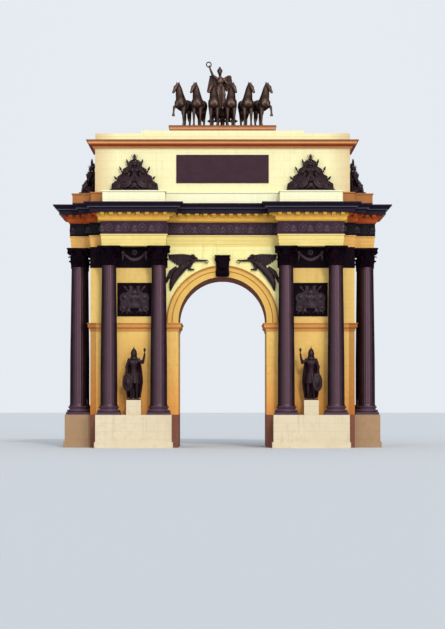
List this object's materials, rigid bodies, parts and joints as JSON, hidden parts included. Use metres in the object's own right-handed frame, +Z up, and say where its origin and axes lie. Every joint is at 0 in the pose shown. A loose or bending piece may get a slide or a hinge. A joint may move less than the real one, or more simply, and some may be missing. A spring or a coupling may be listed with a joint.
{
  "type": "triumphal arch",
  "caption": "Free-standing triumphal arch with one vaulted passage, paired cast-iron Corinthian columns, an attic with trophies and a chariot group.",
  "frame": {"origin": "on the ground under the middle of the passage", "axes": "+Z up, +Y along the passage from front to back, +X to the right of someone facing the front"},
  "size_m": [24.28, 12.18, 28.397],
  "materials": {
    "wall_stone": "pale yellow ashlar, matt, weathered",
    "trim_stone": "warm yellow dressed stone, matt",
    "attic_stone": "cream ashlar, matt",
    "plinth_stone": "light grey-cream stone, matt",
    "cast_iron": "dark painted cast iron, satin"
  },
  "bodies": {
    "root": {"arch_barrel": "wall_stone", "architrave": "trim_stone", "archivolts": "trim_stone", "attic_cornice": "attic_stone", "attic_tablets": "cast_iron", "attic_wall": "attic_stone", "back_trophies": "cast_iron", "bed_moulding": "trim_stone", "blocking_course": "attic_stone", "chariot": "cast_iron", "chariot_plinth": "attic_stone", "cornice": "cast_iron", "east_base_course": "plinth_stone", "east_column_bases": "cast_iron", "east_column_capitals": "cast_iron", "east_column_shafts": "cast_iron", "east_garland_band": "cast_iron", "east_impost": "wall_stone", "east_pier": "wall_stone", "east_plinths": "plinth_stone", "east_relief_panels": "cast_iron", "east_statue_pedestals": "plinth_stone", "east_warriors": "cast_iron", "frieze_band": "cast_iron", "frieze_wall": "wall_stone", "front_trophies": "cast_iron", "horses": "cast_iron", "keystones": "cast_iron", "modillions": "trim_stone", "parapet": "attic_stone", "side_trophies": "cast_iron", "spandrel_figures": "cast_iron", "upper_wall": "wall_stone", "victory": "cast_iron", "west_base_course": "plinth_stone", "west_column_bases": "cast_iron", "west_column_capitals": "cast_iron", "west_column_shafts": "cast_iron", "west_garland_band": "cast_iron", "west_impost": "wall_stone", "west_pier": "wall_stone", "west_plinths": "plinth_stone", "west_relief_panels": "cast_iron", "west_statue_pedestals": "plinth_stone", "west_warriors": "cast_iron"}
  },
  "joints": []
}
